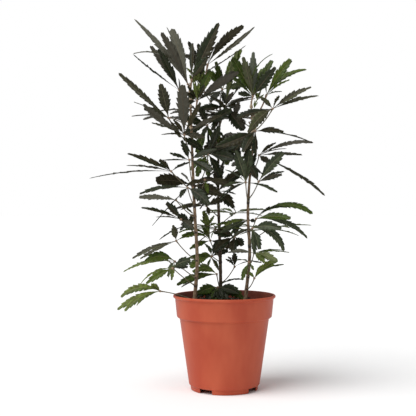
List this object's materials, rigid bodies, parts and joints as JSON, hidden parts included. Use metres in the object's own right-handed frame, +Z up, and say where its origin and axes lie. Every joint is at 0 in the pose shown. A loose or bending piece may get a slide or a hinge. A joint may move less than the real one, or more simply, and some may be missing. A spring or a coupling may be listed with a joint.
{
  "type": "potted false aralia",
  "caption": "Indoor false aralia with slender upright stems, whorls of long toothed leaflets and a round terracotta-coloured plastic nursery pot.",
  "frame": {"origin": "on the floor under the middle of the whole plant's box; the pot's axis stands 28 mm to the right of it and 33 mm in front of it", "axes": "+Z up, -Y towards the side the picture shows, +X to its right"},
  "size_m": [0.4268, 0.2564, 0.6738],
  "materials": {
    "pot_terracotta_plastic": "satin",
    "dark_peat": "rough",
    "stem_bark": "rough",
    "leaf_dark": "satin",
    "leaf_grey": "satin",
    "leaf_blue": "satin",
    "leaf_green": "satin",
    "leaf_olive": "satin"
  },
  "bodies": {
    "root": {"leaf_left_01": "leaf_grey", "leaf_left_02": "leaf_dark", "leaf_left_03": "leaf_dark", "leaf_left_04": "leaf_dark", "leaf_left_05": "leaf_dark", "leaf_left_06": "leaf_grey", "leaf_left_07": "leaf_grey", "leaf_left_08": "leaf_dark", "leaf_left_09": "leaf_dark", "leaf_left_10": "leaf_dark", "leaf_left_11": "leaf_dark", "leaf_left_12": "leaf_grey", "leaf_left_13": "leaf_dark", "leaf_left_14": "leaf_grey", "leaf_left_15": "leaf_green", "leaf_left_16": "leaf_green", "leaf_left_17": "leaf_olive", "leaf_left_18": "leaf_dark", "leaf_left_19": "leaf_dark", "leaf_left_20": "leaf_dark", "leaf_left_21": "leaf_green", "leaf_middle_01": "leaf_green", "leaf_middle_02": "leaf_dark", "leaf_middle_03": "leaf_dark", "leaf_middle_04": "leaf_dark", "leaf_middle_05": "leaf_dark", "leaf_middle_06": "leaf_green", "leaf_middle_07": "leaf_dark", "leaf_middle_08": "leaf_dark", "leaf_middle_09": "leaf_dark", "leaf_middle_10": "leaf_dark", "leaf_middle_11": "leaf_dark", "leaf_middle_12": "leaf_green", "leaf_middle_13": "leaf_green", "leaf_middle_14": "leaf_green", "leaf_middle_15": "leaf_dark", "leaf_middle_16": "leaf_green", "leaf_middle_17": "leaf_green", "leaf_middle_18": "leaf_dark", "leaf_middle_19": "leaf_green", "leaf_right_01": "leaf_green", "leaf_right_02": "leaf_green", "leaf_right_03": "leaf_grey", "leaf_right_04": "leaf_dark", "leaf_right_05": "leaf_grey", "leaf_right_06": "leaf_blue", "leaf_right_07": "leaf_blue", "leaf_right_08": "leaf_green", "leaf_right_09": "leaf_green", "leaf_right_10": "leaf_blue", "leaf_right_11": "leaf_olive", "leaf_right_12": "leaf_green", "leaf_right_13": "leaf_olive", "leaf_right_14": "leaf_dark", "leaf_right_15": "leaf_green", "pot": "pot_terracotta_plastic", "potting_soil": "dark_peat", "stem_left": "stem_bark", "stem_middle": "stem_bark", "stem_right": "stem_bark"}
  },
  "joints": []
}
